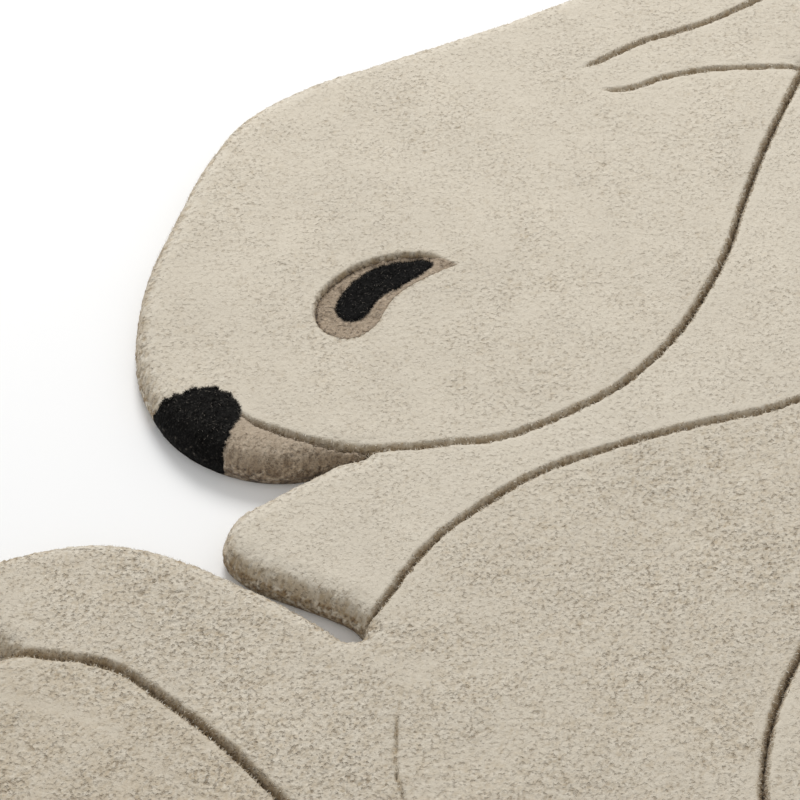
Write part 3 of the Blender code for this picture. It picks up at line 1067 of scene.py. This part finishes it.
def pile_material(slot, sheen, fleck, glint):
    """Cut wool: the yarn's colour with flecks, painted shade and a bump in small clefts between the yarn
    ends, a painted glint where the wool has one, and a soft sheen.
    """
    g = Graph(slot)
    place = g.add("ShaderNodeTexCoord").outputs["Object"]
    yarn = g.add("ShaderNodeAttribute", attribute_name="yarn").outputs["Color"]
    depth = g.add("ShaderNodeAttribute", attribute_name="depth").outputs["Fac"]
    fibre = g.noise(place, FIBRE_NOISE, 3, 0.65)
    ends = g.noise(place, ENDS_NOISE, 3, 0.55)
    cloud = g.spread(g.noise(place, CLOUD_NOISE, 2, 0.5), 0.3, 0.7, 0.97, 1.025)
    coarse = g.maths("MULTIPLY_ADD", g.maths("MULTIPLY", depth, depth), 0.6 * fleck, 0.5 * fleck)
    grain = g.maths("MULTIPLY_ADD", g.spread(fibre, 0.3, 0.7, -1.0, 1.0), coarse, 1.0)
    grain = g.maths("MAXIMUM", grain, 0.15)
    # Painted shade in the clefts between the yarn ends, more where they are deep
    cleft = g.maths("MULTIPLY", g.spread(ends, 0.30, 0.46, 1.0, 0.0), depth)
    colour = g.vector("SCALE", yarn, g.maths("MULTIPLY", grain, cloud))
    mixed = g.add("ShaderNodeMix", {0: g.maths("MULTIPLY", cleft, CLEFT_SHARE)}, data_type="RGBA")
    shine = g.vector("SCALE", glint, g.spread(fibre, 0.56, 0.68, 0.0, 1.0))
    g.put(g.vector("ADD", colour, shine), mixed.inputs[6])
    g.put(g.vector("MULTIPLY", colour, CLEFT_SHADE_TINT), mixed.inputs[7])
    g.put(mixed.outputs[2], g.shader.inputs["Base Color"])
    lumps = g.maths("MULTIPLY", g.noise(place, LUMP_NOISE, 2, 0.5), depth)
    rise = g.maths("MULTIPLY_ADD", fibre, 0.45, g.maths("MULTIPLY_ADD", cleft, -0.6, lumps))
    bump = g.add("ShaderNodeBump", {"Height": rise, "Strength": 0.9, "Distance": WOOL_BUMP})
    g.put(bump.outputs["Normal"], g.shader.inputs["Normal"])
    g.shader.inputs["Roughness"].default_value = WOOL_ROUGHNESS
    g.shader.inputs["Specular IOR Level"].default_value = WOOL_SPECULAR
    g.shader.inputs["Sheen Weight"].default_value = sheen
    g.shader.inputs["Sheen Roughness"].default_value = SHEEN_ROUGHNESS
    return g.material


def canvas_material():
    """Plain woven cotton of the underside."""
    g = Graph("backing_canvas")
    place = g.add("ShaderNodeTexCoord").outputs["Object"]
    axes = g.add("ShaderNodeSeparateXYZ", {"Vector": place})
    turns = 2 * math.pi / CANVAS_PITCH
    warp = g.maths("SINE", g.maths("MULTIPLY", axes.outputs["X"], turns))
    weft = g.maths("SINE", g.maths("MULTIPLY", axes.outputs["Y"], turns))
    slub = g.noise(place, SLUB_NOISE, 3, 0.5)
    mixed = g.maths("MULTIPLY_ADD", g.maths("MULTIPLY", warp, weft), 0.25, slub)
    ramp = g.add("ShaderNodeValToRGB", {"Fac": mixed})
    ramp.color_ramp.elements[0].position = 0.2
    ramp.color_ramp.elements[0].color = CANVAS_DARK
    ramp.color_ramp.elements[1].position = 0.8
    ramp.color_ramp.elements[1].color = CANVAS_LIGHT
    g.put(ramp.outputs["Color"], g.shader.inputs["Base Color"])
    bump = g.add("ShaderNodeBump", {"Height": mixed, "Strength": 0.5, "Distance": CANVAS_BUMP})
    g.put(bump.outputs["Normal"], g.shader.inputs["Normal"])
    g.shader.inputs["Roughness"].default_value = CANVAS_ROUGHNESS
    g.shader.inputs["Sheen Weight"].default_value = CANVAS_SHEEN
    return g.material


def floor_material():
    """Plain pale paper."""
    g = Graph("studio_floor")
    g.shader.inputs["Base Color"].default_value = FLOOR_COLOUR
    g.shader.inputs["Roughness"].default_value = FLOOR_ROUGHNESS
    return g.material


MATERIALS = {slot: pile_material(slot, *looks) for slot, looks in WOOLS.items()}
MATERIALS["backing_canvas"] = canvas_material()
MATERIALS["studio_floor"] = floor_material()


def flat_size(piece):
    """Width and length of the smallest upright box, turned on the floor, that holds a piece."""
    spots = np.array([v.co.xy for v in piece.data.vertices])
    sizes = []
    for angle in np.radians(np.arange(0, 90, 3)):
        turned = spots @ np.array([[math.cos(angle), -math.sin(angle)], [math.sin(angle), math.cos(angle)]])
        sizes.append(sorted(np.ptp(turned, axis=0).tolist()))
    return min(sizes, key=lambda size: size[0] * size[1])


def declare_sheets(made):
    """Looks up each sheet's section and the coloured areas in it, and works out the section's flat size."""
    for name, with_names in SHEETS.items():
        piece, area = made[name]
        going = [made[n][0] for n in with_names]
        flat_size(piece)


def add_key():
    """The broad lamp behind the rabbit's head."""
    data = bpy.data.lights.new("key", "AREA")
    data.energy = KEY_WATTS
    data.size = KEY_SIZE
    light = bpy.data.objects.new("key", data)
    light.location = KEY_AT
    light.rotation_euler = (Vector(KEY_TOWARDS) - Vector(KEY_AT)).to_track_quat("-Z", "Y").to_euler()
    bpy.context.scene.collection.objects.link(light)


def add_studio():
    """A pale floor, the lamp, and an even sky."""
    mesh = bpy.data.meshes.new("floor")
    corners = [(x * FLOOR_REACH, y * FLOOR_REACH, FLOOR_LOW) for x, y in ((-1, -1), (1, -1), (1, 1), (-1, 1))]
    mesh.from_pydata(corners, [], [(0, 1, 2, 3)])
    mesh.materials.append(MATERIALS["studio_floor"])
    floor = bpy.data.objects.new("floor", mesh)
    bpy.context.scene.collection.objects.link(floor)
    add_key()
    sky = bpy.data.worlds.new("sky")
    sky.use_nodes = True
    sky.node_tree.nodes["Background"].inputs["Color"].default_value = (1.0, 1.0, 1.0, 1)
    sky.node_tree.nodes["Background"].inputs["Strength"].default_value = SKY
    bpy.context.scene.world = sky
    bpy.context.scene.view_settings.view_transform = "Standard"


def add_camera():
    """The photograph's view: down at the head and forelegs from the rabbit's front."""
    middle = Vector((*DRAWING_AT, THICKNESS)) / 1000
    back = Vector((0, -math.cos(CAMERA_RISE), math.sin(CAMERA_RISE)))
    data = bpy.data.cameras.new("camera")
    data.lens = CAMERA_LENS
    camera = bpy.data.objects.new("camera", data)
    camera.location = middle + back * CAMERA_FAR
    camera.rotation_euler = (-back).to_track_quat("-Z", "Y").to_euler()
    bpy.context.scene.collection.objects.link(camera)
    bpy.context.scene.camera = camera


made = build_pile()
rim_fibres()
pile_fibres()
groove_fibres()
border_fibres()
declare_sheets(made)
add_studio()
add_camera()
